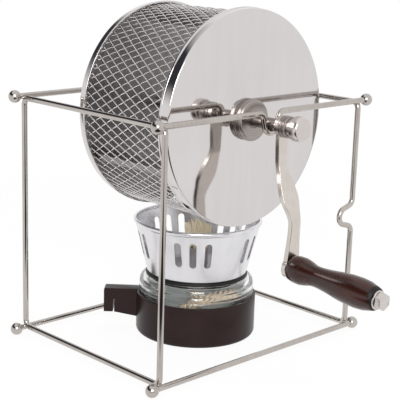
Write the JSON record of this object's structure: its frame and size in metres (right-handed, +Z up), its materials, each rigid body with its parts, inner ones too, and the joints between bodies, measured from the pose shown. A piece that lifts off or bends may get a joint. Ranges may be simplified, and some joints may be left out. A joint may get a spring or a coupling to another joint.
{
  "type": "drum_coffee_roaster",
  "caption": "Hand cranked drum coffee roaster: a mesh drum with a polished lid turns in a ball-footed wire stand over a small spirit burner with a slotted windscreen.",
  "frame": {"origin": "on the floor, half way between the side loops and half way between the front and back bars", "axes": "+X to the right seen from the crank side, +Y to the back along the drum's shaft, +Z up"},
  "size_m": [0.2088, 0.2598, 0.2389],
  "materials": {
    "plated_wire": "nickel plated, satin gloss",
    "polished_ball": "mirror polished nickel plate",
    "polished_steel": "polished stainless sheet",
    "woven_steel": "bright woven wire cloth",
    "drum_steel": "plain folded stainless sheet",
    "turned_steel": "turned and polished steel",
    "lacquered_wood": "dark red-brown gloss lacquer",
    "dark_plastic": "moulded dark brown, semi gloss",
    "black_plastic": "black, satin",
    "clear_glass": "clear pressed glass",
    "bright_aluminium": "polished sheet aluminium",
    "cotton": "frayed white cotton"
  },
  "bodies": {
    "frame": {"left_side_loop": "plated_wire", "right_side_loop": "plated_wire", "front_top_bar": "plated_wire", "back_top_bar": "plated_wire", "front_bottom_bar": "plated_wire", "back_bottom_bar": "plated_wire", "front_top_left_ball": "polished_ball", "front_top_right_ball": "polished_ball", "front_bottom_left_ball": "polished_ball", "front_bottom_right_ball": "polished_ball", "back_top_left_ball": "polished_ball", "back_top_right_ball": "polished_ball", "back_bottom_left_ball": "polished_ball", "back_bottom_right_ball": "polished_ball", "burner_base": "dark_plastic", "fuel_glass": "clear_glass", "burner_collar": "black_plastic", "wick_holder": "bright_aluminium", "wick": "cotton", "windscreen": "bright_aluminium"},
    "drum": {"front_lid": "polished_steel", "front_hoop": "polished_steel", "back_cap": "polished_steel", "mesh_sleeve": "woven_steel", "stirring_vane_1": "drum_steel", "stirring_vane_2": "drum_steel", "stirring_vane_3": "drum_steel", "drum_shaft": "turned_steel", "lid_clamp_nut": "turned_steel", "rear_hub": "turned_steel", "lid_stop_collar": "turned_steel", "crank_arm": "plated_wire", "arm_nut": "turned_steel", "cap_knob": "turned_steel", "grip_bolt": "turned_steel", "grip_washer": "turned_steel"},
    "grip": {"wooden_grip": "lacquered_wood"}
  },
  "joints": [
    {"name": "drum_spin", "type": "hinge", "parent": "frame", "child": "drum", "pos_m": [0, 0, 0.1648], "axis": [0, -1, 0], "continuous": true},
    {"name": "grip_spin", "type": "hinge", "parent": "drum", "child": "grip", "pos_m": [0, -0.09779, 0.0724], "axis": [0, -0.9984, -0.0567], "continuous": true}
  ]
}
